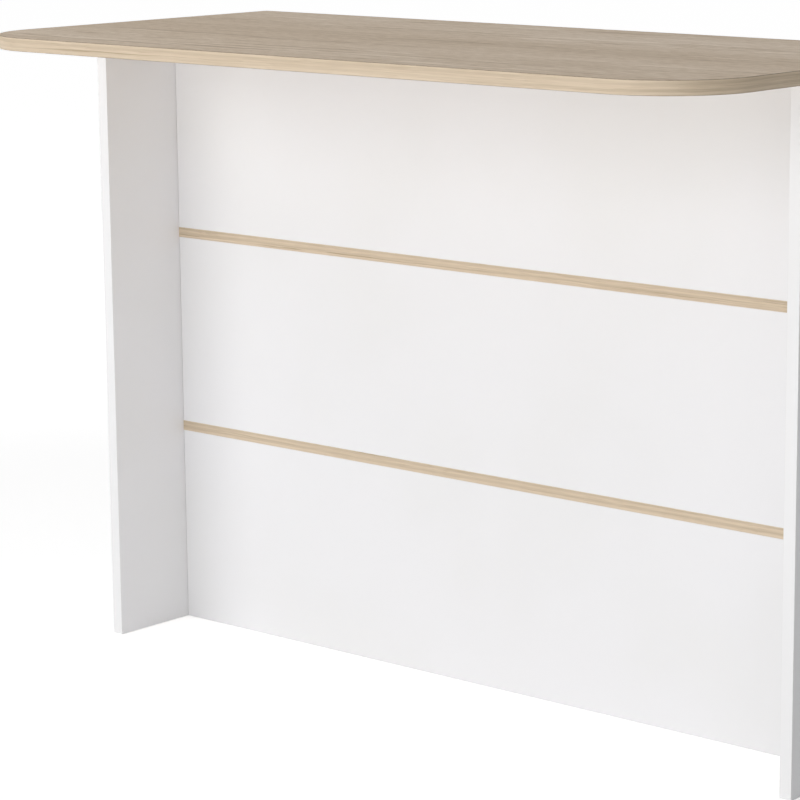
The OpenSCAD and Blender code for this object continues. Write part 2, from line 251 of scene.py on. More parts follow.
def new_group(name: str, inputs: dict[str, float | None]) -> tuple[Sheet, Any]:
    """Makes a shader node group with its inputs.

    Args:
        name: Name of the group.
        inputs: Each input's name with its default, where None stands for a vector.

    Returns:
        The group's sheet, and its inputs by their names.
    """
    tree = bpy.data.node_groups.new(name, "ShaderNodeTree")
    for label, default in inputs.items():
        kind = "NodeSocketVector" if default is None else "NodeSocketFloat"
        socket = tree.interface.new_socket(label, in_out="INPUT", socket_type=kind)
        if default is not None:
            socket.default_value = default
    sheet = Sheet(tree)
    return sheet, sheet.add("NodeGroupInput").outputs


@dataclass(frozen=True)
class Grain:
    """A wood's grain: sizes in metres, then how strong each of its layers is.

    The stretch is the length of a layer's features over their width.
    """

    figure_width: float = 0.2
    streak_width: float = 0.015
    fibre_width: float = 0.0012
    line_width: float = 0.013
    line_length: float = 0.12
    stretch: float = 14.0
    figure: float = 1.35
    streaks: float = 0.6
    fibres: float = 0.7
    flecks: float = 0.9
    dark_lines: float = 0.4


@functools.cache
def wood_grain() -> Tree:
    """Draws the wood grain that the oak decor, the oak edge band and the beech dowels share.

    The vector's first coordinate runs along the grain.

    Returns:
        The node group.
    """
    sheet, given = new_group("Wood Grain", {"vector": None, **asdict(Grain())})
    sway_cell = (7.0, 2.2, 2.2)
    sway_reach = (0.0, 0.3, 0.3)
    fibre_height = 0.4
    pore_depth = 0.6
    size = sheet.add("ShaderNodeCombineXYZ", {axis: given["figure_width"] for axis in range(3)}).outputs[0]
    cell = sheet.vector("MULTIPLY", size, sway_cell)
    drift = sheet.noise(sheet.vector("DIVIDE", given["vector"], cell), scale=1.0, detail=2.0)[1]
    swing = sheet.vector("SUBTRACT", drift, (MIDDLE, MIDDLE, MIDDLE))
    sway = sheet.vector("MULTIPLY", swing, sheet.vector("MULTIPLY", size, sway_reach))
    place = sheet.vector("ADD", given["vector"], sway)

    def layer(width: str, detail: float, rough: float = 0.5, share: float = 1.0) -> Feed:
        """Adds a layer of streaks; share widens them against the named width."""
        across = sheet.math("MULTIPLY", given[width], share)
        return sheet.grained(place, across, sheet.math("MULTIPLY", across, given["stretch"]), detail, rough)

    def dashes(widen: float, lengthen: float, detail: float = 1.0) -> Feed:
        """Adds a layer as wide and long as the dark lines, or a number of times wider and longer."""
        width = sheet.math("MULTIPLY", given["line_width"], widen)
        length = sheet.math("MULTIPLY", given["line_length"], lengthen)
        return sheet.grained(place, width, length, detail, rough=0.4)

    def off_middle(value: Feed, amount: Feed) -> Feed:
        """Returns how far a layer's value lies off its middle, times an amount."""
        return sheet.math("MULTIPLY", sheet.math("SUBTRACT", value, MIDDLE), amount)

    figure = layer("figure_width", detail=2.0, rough=0.45)
    calm = sheet.remap(dashes(widen=7.0, lengthen=4.0), low=0.42, high=0.6, to_low=0.35)
    streaks = off_middle(layer("streak_width", detail=3.0, rough=0.6), calm)
    fibres = layer("fibre_width", detail=1.0)
    flecks = dashes(widen=0.2, lengthen=0.14, detail=2.0)
    veins = dashes(widen=1.0, lengthen=1.0)
    pale_veins = sheet.remap(veins, low=0.44, high=0.34, to_high=0.9)
    clusters = sheet.remap(dashes(widen=2.0, lengthen=9.0), low=0.55, high=0.64)
    dark_veins = sheet.math("SUBTRACT", sheet.remap(veins, low=0.54, high=0.62), pale_veins)
    lines = sheet.math("MULTIPLY", clusters, dark_veins)
    pores = sheet.remap(layer("fibre_width", detail=0.0, share=0.8), low=0.66, high=0.76)
    tone = sheet.math("ADD", MIDDLE, sheet.math("MULTIPLY", streaks, given["streaks"]))
    for name, value in {"figure": figure, "fibres": fibres, "flecks": flecks}.items():
        tone = sheet.math("ADD", tone, off_middle(value, given[name]))
    tone = sheet.math("SUBTRACT", tone, sheet.math("MULTIPLY", lines, given["dark_lines"]))
    raised, sunk = sheet.math("MULTIPLY", fibres, fibre_height), sheet.math("MULTIPLY", pores, pore_depth)
    return sheet.give({"tone": tone, "pores": pores, "height": sheet.math("SUBTRACT", raised, sunk)})


@functools.cache
def fine_texture() -> Tree:
    """Draws the fine pressed texture and the faint clouding that boards, bands, caps and metal share.

    Returns:
        The node group.
    """
    sheet, given = new_group("Fine Texture", {"vector": None, "size": 0.0006})
    wave_over_pit = 6.0
    pit_share, wave_share = 0.6, 0.4
    wave_size = sheet.math("MULTIPLY", given["size"], wave_over_pit)
    height = 0.0
    for size, share in ((given["size"], pit_share), (wave_size, wave_share)):
        layer = sheet.grained(given["vector"], size, size, detail=1.0)
        height = sheet.math("ADD", height, sheet.math("MULTIPLY", layer, share))
    cloud = sheet.noise(given["vector"], scale=3.2, detail=2.0)[0]
    return sheet.give({"height": height, "cloud": cloud})


@functools.cache
def broken_arris_mask() -> Tree:
    """Draws a broken mask along arrises from the mask of their faces: it places the grey on white edges and
    joints, and the oak bands' trim colour with its painted light and shade.

    Returns:
        The node group.
    """
    sheet, given = new_group("Broken Arris Mask", {"vector": None, "arris": 0.0})
    nicks = sheet.noise(given["vector"], scale=90.0, detail=3.0, rough=0.6)[0]
    broken = sheet.remap(nicks, low=0.3, high=0.6, to_low=0.55)
    return sheet.give({"broken_arris": sheet.math("MULTIPLY", given["arris"], broken)})


def broken_arris_of(sheet: Sheet) -> Feed:
    """Adds the broken mask along a piece's arrises to a material and returns it."""
    arris = sheet.add("ShaderNodeAttribute", attribute_name=ARRIS).outputs["Fac"]
    return sheet.group(broken_arris_mask(), {"vector": sheet.place(), "arris": arris})["broken_arris"]


@dataclass(frozen=True)
class Drawn:
    """What a finish feeds to its shader: outputs of nodes that change over the surface."""

    colour: Feed
    roughness: Feed
    height: Feed


@dataclass(frozen=True)
class Finish:
    """A surface finish with its slot in the record, its gloss and the depth of its relief."""

    name: str
    slot: Slot
    relief: float = 0.05 * MM
    bump: float = 0.5
    gloss: float = 0.5

    def draw(self, sheet: Sheet) -> Drawn:
        """Draws what changes over the surface; each finish has its own."""
        raise NotImplementedError

    def shader_values(self) -> dict[str, float]:
        """Returns the numbers that are the same all over the surface, by their shader sockets."""
        return {"Specular IOR Level": self.gloss}

    @functools.cache
    def material(self) -> bpy.types.Material:
        """Builds the finish's material, once.

        Returns:
            The material.
        """
        material = bpy.data.materials.new(self.name)
        sheet = Sheet.blank(material)
        drawn = self.draw(sheet)
        relief = {"Strength": self.bump, "Distance": self.relief, "Height": drawn.height}
        normal = sheet.add("ShaderNodeBump", relief).outputs["Normal"]
        feeds = {"Base Color": drawn.colour, "Roughness": drawn.roughness, "Normal": normal}
        shader = sheet.add("ShaderNodeBsdfPrincipled", {**feeds, **self.shader_values()})
        sheet.add("ShaderNodeOutputMaterial", {"Surface": shader.outputs["BSDF"]})
        return material


@dataclass(frozen=True)
class WoodLook:
    """Colours and grain of a wood, or of a print of it."""

    deep: Colour
    middle: Colour
    pale: Colour
    pore: Colour
    grain: Grain
    pore_share: float = 0.35

    def colours(self, sheet: Sheet, vector: Feed) -> tuple[Feed, Any]:
        """Draws the wood's colour at a place.

        Args:
            sheet: The material's node tree.
            vector: The place, its first coordinate along the grain.

        Returns:
            The colour, and the outputs of the grain.
        """
        grain = sheet.group(wood_grain(), {"vector": vector, **asdict(self.grain)})
        below = sheet.add("ShaderNodeMapRange", {"Value": grain["tone"], "From Max": MIDDLE}).outputs[0]
        above = sheet.add("ShaderNodeMapRange", {"Value": grain["tone"], "From Min": MIDDLE}).outputs[0]
        both = sheet.mix(above, sheet.mix(below, self.deep, self.middle), self.pale)
        return sheet.mix(sheet.math("MULTIPLY", grain["pores"], self.pore_share), both, self.pore), grain


OAK = WoodLook(
    deep=srgb(192, 168, 140),
    middle=srgb(221, 200, 174),
    pale=srgb(248, 230, 209),
    pore=srgb(170, 147, 118),
    grain=Grain(),
)
OAK_BAND_PRINT = WoodLook(
    deep=srgb(172, 153, 126),
    middle=srgb(209, 191, 167),
    pale=srgb(227, 211, 188),
    pore=srgb(166, 144, 115),
    grain=Grain(figure_width=0.016, streak_width=0.004, fibre_width=0.0006, line_width=0.0025,
                line_length=0.3, stretch=120.0, figure=0.35, streaks=1.1, fibres=0.5, flecks=0.5),
)
BEECH = WoodLook(
    deep=srgb(196, 158, 112),
    middle=srgb(217, 184, 142),
    pale=srgb(232, 205, 168),
    pore=srgb(176, 134, 88),
    grain=Grain(figure_width=0.006, streak_width=0.0016, fibre_width=0.0004, line_width=0.002,
                line_length=0.02, stretch=18.0, figure=0.5, fibres=0.6, flecks=0.4, dark_lines=0.1),
)


@dataclass(frozen=True)
class WoodFinish(Finish):
    """Wood or a print of it, moved and turned so that its grain suits the piece."""

    wood: WoodLook = OAK
    roughest: float = 0.64
    smoothest: float = 0.56
    open_pores: float = 0.12
    shift: Triple = (0.0, 0.0, 0.0)
    turn: Triple = (0.0, 0.0, 0.0)

    def draw(self, sheet: Sheet) -> Drawn:
        """Draws the grain in the piece's own space.

        Args:
            sheet: The material's node tree.

        Returns:
            The outputs for colour, roughness and height.
        """
        laid = {"Vector": sheet.place(), "Location": self.shift, "Rotation": self.turn}
        colour, grain = self.wood.colours(sheet, sheet.add("ShaderNodeMapping", laid).outputs[0])
        open_pores = sheet.math("MULTIPLY", grain["pores"], self.open_pores)
        return Drawn(colour, sheet.math("ADD", self.roughness(sheet, grain), open_pores), grain["height"])

    def roughness(self, sheet: Sheet, grain: Any) -> Feed:
        """Makes the dark wood rougher than the pale wood."""
        return sheet.remap(grain["tone"], low=0.2, high=0.9, to_low=self.roughest, to_high=self.smoothest)


@dataclass(frozen=True)
class OakBand(WoodFinish):
    """Light-oak edge band whose streaks and faint lines follow the band round every corner."""

    name: str = "oak edge band"
    slot: Slot = Slot.OAK_EDGE_BAND
    relief: float = 0.03 * MM
    gloss: float = 0.35
    wood: WoodLook = OAK_BAND_PRINT
    roughest: float = 0.58
    smoothest: float = 0.5
    # The trim colour goes on the arrises: on the worktop band it is dark, partly the trimmed band's own edge
    # and partly a painted shadow line along the arris.
    trim_and_painted_light: Colour = srgb(110, 88, 66)
    trim_and_light_share: float = 0.9
    trimmed_roughness: float = 0.1
    line_pitch: float = 7.2 * MM
    line_middle: float = -3.0 * MM
    line_depth: float = 0.28
    line_sway: float = 1.6
    line_wander: float = 3.5

    def draw(self, sheet: Sheet) -> Drawn:
        """Draws the streaks and lines along the band's own map, paints the trim colour along its arrises with
        the painted light and shade that it holds, and dulls them.

        Args:
            sheet: The material's node tree.

        Returns:
            The outputs for colour, roughness and height.
        """
        run = sheet.add("ShaderNodeUVMap", uv_map=RUN_MAP).outputs[0]
        colour, grain = self.wood.colours(sheet, run)
        lines = sheet.math("MULTIPLY", self.lines(sheet, run), self.line_depth)
        broken_arris = broken_arris_of(sheet)
        # The trim colour along the arrises, over the trimmed edge's own colour: a painted shadow line on the
        # worktop band, painted light on the strips.
        trim_and_painted_light = sheet.math("MULTIPLY", broken_arris, self.trim_and_light_share)
        arris_toned = sheet.mix(trim_and_painted_light, sheet.mix(lines, colour, self.wood.deep), self.trim_and_painted_light)
        dulled = sheet.math("MULTIPLY", broken_arris, self.trimmed_roughness)
        return Drawn(arris_toned, sheet.math("ADD", self.roughness(sheet, grain), dulled), grain["height"])

    def lines(self, sheet: Sheet, run: Feed) -> Feed:
        """Draws the print's faint lines, which run the length of the band and wander a little.

        Args:
            sheet: The material's node tree.
            run: The band's own map.

        Returns:
            A mask, 1 in the middle of a dark line.
        """
        scale = math.tau / (WAVE_STEP * self.line_pitch)
        phase = math.pi - math.tau * self.line_middle / self.line_pitch
        feeds = {"Vector": run, "Scale": scale, "Distortion": self.line_sway, "Detail": 1.0,
                 "Detail Scale": self.line_wander / scale, "Phase Offset": phase}
        return sheet.add("ShaderNodeTexWave", feeds, bands_direction="Y").outputs["Fac"]


@dataclass(frozen=True)
class PlainSurface(Finish):
    """Melamine, edge band or moulding of one plain colour with a fine pressed texture."""

    tint: Colour = srgb(238, 238, 240)
    shade: Colour = srgb(236, 236, 237)
    arris_toned: Colour = srgb(226, 226, 226)
    texture_size: float = 0.6 * MM
    roughness: float = 0.5
    spread: float = 0.04
    worn_roughness: float = 0.08

    def draw(self, sheet: Sheet) -> Drawn:
        """Draws a faint clouding, the fine texture and the greyer arrises and joints.

        Args:
            sheet: The material's node tree.

        Returns:
            The outputs for colour, roughness and height.
        """
        texture = sheet.group(fine_texture(), {"vector": sheet.place(), "size": self.texture_size})
        clouds = sheet.remap(texture["cloud"], low=0.35, high=0.65)
        broken_arris = broken_arris_of(sheet)
        colour = sheet.mix(broken_arris, sheet.mix(clouds, self.tint, self.shade), self.arris_toned)
        roughness = sheet.remap(texture["cloud"], low=0.3, high=0.7, to_low=self.roughness - self.spread,
                                to_high=self.roughness + self.spread)
        dulled = sheet.math("MULTIPLY", broken_arris, self.worn_roughness)
        return Drawn(colour, sheet.math("ADD", roughness, dulled), texture["height"])


@dataclass(frozen=True)
class PlatedMetal(Finish):
    """Zinc or plated steel, with a cast or drawn texture."""

    relief: float = 0.02 * MM
    bright: Colour = srgb(205, 208, 212)
    dull: Colour = srgb(168, 171, 176)
    smoothest: float = 0.26
    roughest: float = 0.4
    texture_size: float = 0.4 * MM

    def draw(self, sheet: Sheet) -> Drawn:
        """Draws brighter and duller patches and a fine texture.

        Args:
            sheet: The material's node tree.

        Returns:
            The outputs for colour, roughness and height.
        """
        place = sheet.place()
        texture = sheet.group(fine_texture(), {"vector": place, "size": self.texture_size})
        patches = sheet.noise(place, scale=160.0, detail=3.0, rough=0.6)[0]
        colour = sheet.mix(sheet.remap(patches, low=0.35, high=0.65), self.bright, self.dull)
        roughness = sheet.remap(patches, low=0.3, high=0.7, to_low=self.smoothest, to_high=self.roughest)
        return Drawn(colour, roughness, texture["height"])

    def shader_values(self) -> dict[str, float]:
        """Returns the shader's plain numbers, a full metal among them."""
        return {"Metallic": 1.0}


WHITE_BOARD = PlainSurface("white melamine", Slot.WHITE_BOARD)
WHITE_BAND = PlainSurface("white edge band", Slot.WHITE_EDGE_BAND, tint=srgb(240, 240, 241),
                          shade=srgb(238, 238, 239), texture_size=0.9 * MM, roughness=0.42)
WHITE_MOULDING = PlainSurface("white moulding", Slot.WHITE_CAP, tint=srgb(234, 234, 233),
                              texture_size=0.5 * MM, roughness=0.38)
BEIGE_MOULDING = PlainSurface("beige moulding", Slot.OAK_CAP, tint=srgb(206, 188, 160),
                              shade=srgb(198, 179, 150), arris_toned=srgb(190, 170, 142), roughness=0.4)
OAK_DECOR = WoodFinish("oak decor", Slot.OAK_BOARD, relief=0.06 * MM, gloss=0.3)
OAK_BAND = OakBand()
STRIP_PRINT = replace(OAK_BAND_PRINT, middle=srgb(213, 195, 171), pale=srgb(231, 214, 190))
# The strips' trim colour is pale: partly a pale trimmed edge, partly painted light that makes their shaded
# arrises as light as the wall beside them.
OAK_STRIP = OakBand("oak strip", wood=STRIP_PRINT, trim_and_painted_light=srgb(238, 230, 216), line_middle=-1.5 * MM,
                    line_depth=0.32)
CAST_ZINC = PlatedMetal("cast zinc", Slot.ZINC, bright=srgb(190, 193, 198), dull=srgb(158, 161, 167),
                        smoothest=0.36, roughest=0.5)
PLATED_STEEL = PlatedMetal("plated steel", Slot.STEEL)
BEECH_DOWEL = WoodFinish("beech dowel", Slot.BEECH, relief=0.08 * MM, wood=BEECH, roughest=0.68,
                         open_pores=0.0)
UPRIGHT_DOWEL = replace(BEECH_DOWEL, name="upright beech dowel", turn=(0.0, QUARTER_TURN, 0.0))


def clear() -> None:
    """Leaves edit mode and deselects everything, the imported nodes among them."""
    active = bpy.context.view_layer.objects.active
    if active is not None and active.mode != "OBJECT":
        bpy.ops.object.mode_set(mode="OBJECT")
    bpy.ops.object.select_all(action="DESELECT")


def take(piece: Piece) -> None:
    """Leaves edit mode, selects one piece alone and makes it the active one.

    Args:
        piece: The piece to take.
    """
    clear()
    piece.select_set(True)
    bpy.context.view_layer.objects.active = piece


def settle(name: str) -> Piece:
    """Names the active piece and puts its place, turn and size into its mesh.

    Args:
        name: Name of the piece.

    Returns:
        The piece.
    """
    piece = bpy.context.view_layer.objects.active
    piece.name = name
    piece.data.name = name
    bpy.ops.object.transform_apply(location=True, rotation=True, scale=True)
    return piece


def new_piece(name: str, primitive: Callable[..., Any], **values: Any) -> Piece:
    """Adds a primitive as a new piece.

    Args:
        name: Name of the piece.
        primitive: The operator that adds the primitive.
        values: The operator's values.

    Returns:
        The piece.
    """
    clear()
    primitive(**values)
    return settle(name)


def cube(name: str, low: Vector, high: Vector) -> Piece:
    """Adds a cube that fills the box between two corners."""
    return new_piece(name, bpy.ops.mesh.primitive_cube_add, size=1.0, location=(low + high) / 2,
                     scale=high - low)


def disc(name: str, radius: float, height: float, steps: int) -> Piece:
    """Adds an upright cylinder that stands at the origin."""
    return new_piece(name, bpy.ops.mesh.primitive_cylinder_add, vertices=steps, radius=radius, depth=height,
                     location=(0.0, 0.0, height / 2))


def edit(piece: Piece) -> None:
    """Takes a piece and starts to edit it."""
    take(piece)
    bpy.ops.object.mode_set(mode="EDIT")


def pick(part: Part, test: Callable[[Any], bool]) -> None:
    """Selects only the parts of the edited piece that pass a test.

    Args:
        part: The parts to look through.
        test: Says of one part whether it is selected.
    """
    bpy.ops.mesh.select_mode(type=part.value)
    bpy.ops.mesh.select_all(action="DESELECT")
    data = bpy.context.edit_object.data
    mesh = bmesh.from_edit_mesh(data)
    for one in {Part.VERTEX: mesh.verts, Part.EDGE: mesh.edges, Part.FACE: mesh.faces}[part]:
        if test(one):
            one.select_set(True)
    mesh.select_flush_mode()
    bmesh.update_edit_mesh(data)


def pick_level(part: Part, height: float) -> None:
    """Selects only the edges or faces of the edited piece that lie level at a height."""
    pick(part, lambda one: all(abs(corner.co.z - height) < TOUCH for corner in one.verts))


def merge() -> None:
    """Selects the edited piece all over and merges its doubled corners."""
    bpy.ops.mesh.select_all(action="SELECT")
    bpy.ops.mesh.remove_doubles(threshold=MERGE_REACH)


def bevel(width: float, segments: int, affect: str = "EDGES") -> None:
    """Rounds what is selected on the edited piece."""
    bpy.ops.mesh.bevel(offset=width, segments=segments, affect=affect, clamp_overlap=False)


def draw_out(x: float = 0.0, y: float = 0.0, z: float = 0.0) -> None:
    """Extrudes what is selected on the edited piece."""
    bpy.ops.mesh.extrude_region_move(TRANSFORM_OT_translate={"value": (x, y, z)})


def modify(piece: Piece, kind: str, **settings: Any) -> None:
    """Puts a modifier on a piece and applies it.

    Args:
        piece: The piece.
        kind: Type of the modifier.
        settings: The modifier's properties.
    """
    modifier = piece.modifiers.new(kind, kind)
    for name, value in settings.items():
        setattr(modifier, name, value)
    take(piece)
    bpy.ops.object.modifier_apply(modifier=modifier.name)


def shade(piece: Piece, smooth_angle: float) -> None:
    """Shades faces under an angle smooth and lets the larger faces set the shading.

    Args:
        piece: The piece to shade.
        smooth_angle: Angle between faces under which they shade as one, in radians.
    """
    take(piece)
    bpy.ops.object.shade_smooth_by_angle(angle=smooth_angle, keep_sharp_edges=True)
    modify(piece, "WEIGHTED_NORMAL", keep_sharp=True)


def mask_faces(piece: Piece, test: Callable[[bpy.types.MeshPolygon], bool]) -> None:
    """Marks a piece's arris faces in an attribute that the finishes read.

    Args:
        piece: The piece to mark.
        test: Says whether a face is part of an arris.
    """
    take(piece)
    mask = piece.data.attributes.new(ARRIS, "FLOAT", "FACE")
    for face in piece.data.polygons:
        mask.data[face.index].value = float(test(face))


def map_run(piece: Piece, along: Callable[[Vector], float], across: Callable[[Vector], float],
            depth: Callable[[Vector], float]) -> None:
    """Gives a band the map that its finish reads, in metres along and across its run.

    Args:
        piece: The band.
        along: Length along the band at a place.
        across: Distance of a place from the middle of the band's face.
        depth: How far a place lies behind that face, which carries the map on round the arrises.
    """
    chart = piece.data.uv_layers.new(name=RUN_MAP)
    for loop in piece.data.loops:
        place = piece.data.vertices[loop.vertex_index].co
        offset = across(place)
        chart.data[loop.index].uv = (along(place), offset + math.copysign(depth(place), offset))


def paint(piece: Piece, finish: Finish) -> None:
    """Gives a piece its finish."""
    piece.data.materials.clear()
    piece.data.materials.append(finish.material())


def dress(node: str, finish: Finish) -> Piece:
    """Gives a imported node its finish, leaves its shape alone and returns it."""
    paint(frame["nodes"][node], finish)
    return frame["nodes"][node]


def mount(piece: Piece, node: str, finish: Finish) -> Piece:
    """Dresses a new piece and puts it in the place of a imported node.

    Args:
        piece: The finished piece.
        node: Name of the node that it stands for.
        finish: Its finish.

    Returns:
        The piece.
    """
    paint(piece, finish)
    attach(piece, BODY)
    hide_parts(node)
    return piece


def copy_of(node: str, name: str) -> Piece:
    """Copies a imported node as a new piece.

    Args:
        node: Name of the node.
        name: Name of the new piece.

    Returns:
        The copy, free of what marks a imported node.
    """
    take(frame["nodes"][node])
    bpy.ops.object.duplicate()
    piece = bpy.context.view_layer.objects.active
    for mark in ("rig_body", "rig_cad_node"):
        del piece[mark]
    piece.parent = None
    return settle(name)


def boxes_of(node: str) -> list[tuple[Vector, Vector]]:
    """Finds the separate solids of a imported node.

    Args:
        node: Name of the node.

    Returns:
        Each solid's lowest and highest corner, in the order of their places.
    """
    edit(copy_of(node, f"{node}_solids"))
    merge()
    bpy.ops.mesh.separate(type="LOOSE")
    bpy.ops.object.mode_set(mode="OBJECT")
    boxes = []
    for solid in list(bpy.context.selected_objects):
        boxes.append((Vector(solid.bound_box[0]), Vector(solid.bound_box[6])))
        bpy.data.meshes.remove(solid.data)
    return sorted(boxes, key=lambda box: tuple(round(share, 5) for share in box[0]))


def lay_copies(pattern: Piece, places: list[Matrix], name: str) -> Piece:
    """Lays a copy of a pattern at each place and joins the copies as one piece.

    Args:
        pattern: The modelled pattern at the origin, which is deleted.
        places: Where each copy goes and how it turns.
        name: Name of the piece.

    Returns:
        The piece.
    """
    copies = []
    for place in places:
        take(pattern)
        bpy.ops.object.duplicate()
        bpy.context.object.matrix_world = place
        bpy.ops.object.transform_apply(location=True, rotation=True, scale=True)
        copies.append(bpy.context.object)
    bpy.data.meshes.remove(pattern.data)
    take(copies[0])
    for copy in copies:
        copy.select_set(True)
    bpy.ops.object.join()
    return settle(name)


@dataclass
class EdgeBand:
    """A straight edge band with rounded outer arrises, glued to the edge of a board."""

    node: str
    run: Run
    facing: Facing
    finish: Finish
    rounding: float = 0.5 * MM
    round_ends: bool = False
    order: int = 0
    segments: int = 4
    print_pitch: float = 1.37
    flat_angle: float = math.radians(4)

    def build(self) -> Piece:
        """Models the band from a cube whose outer edges are bevelled.

        Returns:
            The mounted band.
        """
        low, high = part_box(self.node)
        outer = high.y if self.facing is Facing.KITCHEN else low.y
        wide = Run.HEIGHT.value if self.run is Run.WIDTH else Run.WIDTH.value
        middle = (low[wide] + high[wide]) / 2
        flat = math.cos(self.flat_angle)

        def is_arris(edge: bmesh.types.BMEdge) -> bool:
            """Says whether an edge is an outer arris, at the run's ends only where they are rounded."""
            first, second = edge.verts[0].co, edge.verts[1].co
            along = self.round_ends or abs(first[self.run.value] - second[self.run.value]) > TOUCH
            return along and abs(first.y - outer) < TOUCH and abs(second.y - outer) < TOUCH

        piece = cube(f"{self.node}_eased", low, high)
        edit(piece)
        pick(Part.EDGE, is_arris)
        bevel(self.rounding, self.segments)
        mask_faces(piece, lambda face: max(abs(share) for share in face.normal) < flat)
        map_run(piece, lambda place: place[self.run.value] + self.order * self.print_pitch,
                lambda place: place[wide] - middle, lambda place: abs(place.y - outer))
        return mount(piece, self.node, self.finish)


@dataclass(frozen=True)
class Outline:
    """The worktop's outer edge, from its left rear end round the front to its right rear end."""

    half_width: float
    front: float
    rear: float
    radius: float

    @property
    def side_length(self) -> float:
        """Length of the straight stretch along one end of the worktop."""
        return self.rear - self.front - self.radius

    @property
    def corner_x(self) -> float:
        """X of the middle of the right rounded corner."""
        return self.half_width - self.radius

    @property
    def corner_y(self) -> float:
        """Y of the middle of both rounded corners."""
        return self.front + self.radius

    def beyond(self, place: Vector) -> tuple[float, float]:
        """Returns how far a place lies outside and in front of the middle of the nearer corner."""
        return abs(place.x) - self.corner_x, self.corner_y - place.y

    def along(self, place: Vector) -> float:
        """Measures the outer edge up to a place.

        Args:
            place: A place on the edge band.

        Returns:
            The length from the left rear end.
        """
        outside, ahead = self.beyond(place)
        turned = self.radius * math.atan2(max(ahead, 0.0), max(outside, 0.0))
        reached = self.side_length + min(ahead, 0.0) + turned + max(-outside, 0.0)
        half = self.side_length + self.radius * QUARTER_TURN + self.corner_x
        return reached if place.x < 0 else 2 * half - reached

    def depth(self, place: Vector) -> float:
        """Returns how far a place on the edge band lies inside the outer edge."""
        outside, ahead = self.beyond(place)
        return self.radius - math.hypot(max(outside, 0.0), max(ahead, 0.0))


@dataclass
class Worktop:
    """The oak-faced worktop and its edge bands."""

    corner_radius: float = 120 * MM
    band_thickness: float = 2 * MM
    rounding: float = 0.5 * MM
    corner_steps: int = 32
    segments: int = 4
    smooth_angle: float = math.radians(12)
    least_slant: float = 0.1
    most_slant: float = 0.99

    def build(self) -> Iterator[Piece]:
        """Dresses the board and builds its two edge bands.

        Returns:
            Each piece in turn.
        """
        yield dress("worktop", replace(OAK_DECOR, name="oak decor of the worktop", shift=(0.23, 0.11, 0.0)))
        yield self.front_band()
        yield EdgeBand("worktop_rear_band", Run.WIDTH, Facing.KITCHEN, OAK_BAND, self.rounding,
                       round_ends=True, order=1).build()

    def front_band(self) -> Piece:
        """Models the band that runs along the left end, the front and the right end.

        Its cross-section starts at the left rear end, is drawn forward, spun round the left corner, drawn
        along the front, spun round the right corner and drawn back to the right rear end.

        Returns:
            The mounted band.
        """
        node = "worktop_edge_band"
        low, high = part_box(node)
        outline = Outline(high.x, low.y, high.y, self.corner_radius)
        middle_z = (low.z + high.z) / 2
        clear()
        bpy.ops.mesh.primitive_plane_add(size=1.0, rotation=(-QUARTER_TURN, 0.0, 0.0),
                                         location=(low.x + self.band_thickness / 2, high.y, middle_z))
        bpy.context.object.scale = (self.band_thickness, high.z - low.z, 1.0)
        piece = settle(f"{node}_eased")
        edit(piece)
        pick(Part.VERTEX, lambda corner: abs(corner.co.x - low.x) < TOUCH)
        bevel(self.rounding, self.segments, affect="VERTICES")
        bpy.ops.mesh.select_all(action="SELECT")
        draw_out(y=-outline.side_length)
        for corner_x, way in ((-outline.corner_x, {"x": 2 * outline.corner_x}),
                              (outline.corner_x, {"y": outline.side_length})):
            bpy.ops.mesh.spin(steps=self.corner_steps, angle=-QUARTER_TURN, axis=(0.0, 0.0, 1.0),
                              center=(corner_x, outline.corner_y, middle_z))
            draw_out(**way)
        merge()
        bpy.ops.mesh.normals_make_consistent(inside=False)
        mask_faces(piece, lambda face: self.least_slant < abs(face.normal.z) < self.most_slant)
        map_run(piece, outline.along, lambda place: place.z - middle_z, outline.depth)
        shade(piece, self.smooth_angle)
        return mount(piece, node, OAK_BAND)


@dataclass
class SidePanel:
    """An upright white panel with an edge band along its front and its rear."""

    side: Side
    rounding: float = 0.6 * MM

    def build(self) -> Iterator[Piece]:
        """Dresses the panel and builds its bands.

        Returns:
            Each piece in turn.
        """
        yield dress(f"{self.side.value}_side_panel", WHITE_BOARD)
        for edge, facing in (("front", Facing.SEATING), ("rear", Facing.KITCHEN)):
            yield EdgeBand(f"{self.side.value}_panel_{edge}_band", Run.HEIGHT, facing, WHITE_BAND,
                           self.rounding).build()


@dataclass
class Shelf:
    """An oak shelf whose front band is the strip in the wall."""

    level: Level
    order: int
    print_shift: Triple = (0.9, 0.35, 0.0)

    def build(self) -> Iterator[Piece]:
        """Dresses the shelf and builds its strip and its rear band.

        Returns:
            Each piece in turn.
        """
        level = self.level.value
        shift = tuple(step * self.order for step in self.print_shift)
        yield dress(f"{level}_shelf", replace(OAK_DECOR, name=f"oak decor of the {level} shelf", shift=shift))
        for edge, facing, order in (("strip", Facing.SEATING, 2), ("rear_band", Facing.KITCHEN, 3)):
            yield EdgeBand(f"{level}_shelf_{edge}", Run.WIDTH, facing, OAK_STRIP,
                           order=order + 2 * self.order).build()


